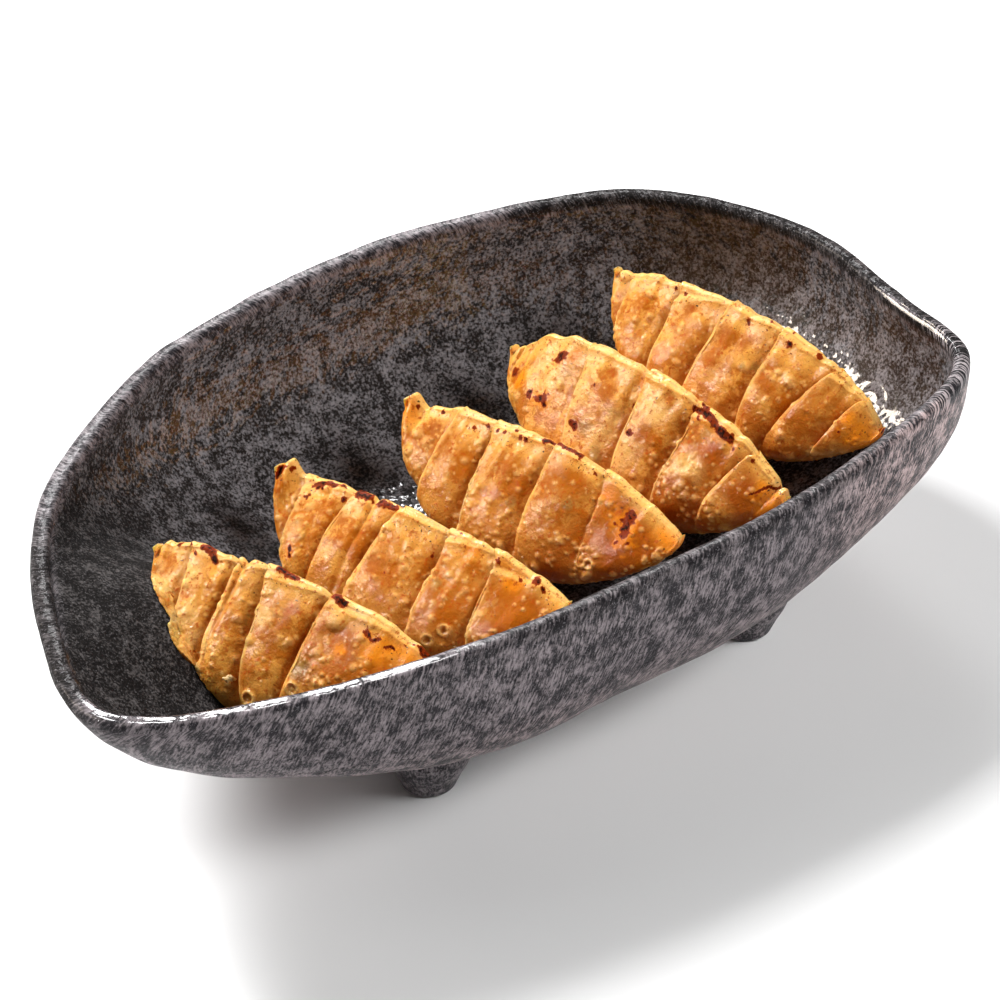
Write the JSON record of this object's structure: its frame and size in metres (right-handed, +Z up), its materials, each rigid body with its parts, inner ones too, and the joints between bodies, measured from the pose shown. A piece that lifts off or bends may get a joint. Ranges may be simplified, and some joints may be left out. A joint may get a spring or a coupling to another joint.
{
  "type": "gyoza dumplings in a footed dish",
  "caption": "Row of pan-fried half-moon dumplings with pleated fronts, lying across a leaf-shaped stoneware dish on stubby feet.",
  "frame": {"origin": "Middle of the outer box, on the plane that the feet stand on.", "axes": "+X runs along the dish's long side, from its pointed corner to its blunt end. +Y points to the arched long side. +Z is up."},
  "size_m": [0.2444, 0.1476, 0.0593],
  "materials": {
    "stoneware_glaze": "gloss",
    "fried_dough": "satin"
  },
  "bodies": {
    "root": {"dish": "stoneware_glaze", "dumpling_1": "fried_dough", "dumpling_2": "fried_dough", "dumpling_3": "fried_dough", "dumpling_4": "fried_dough", "dumpling_5": "fried_dough"}
  },
  "joints": []
}
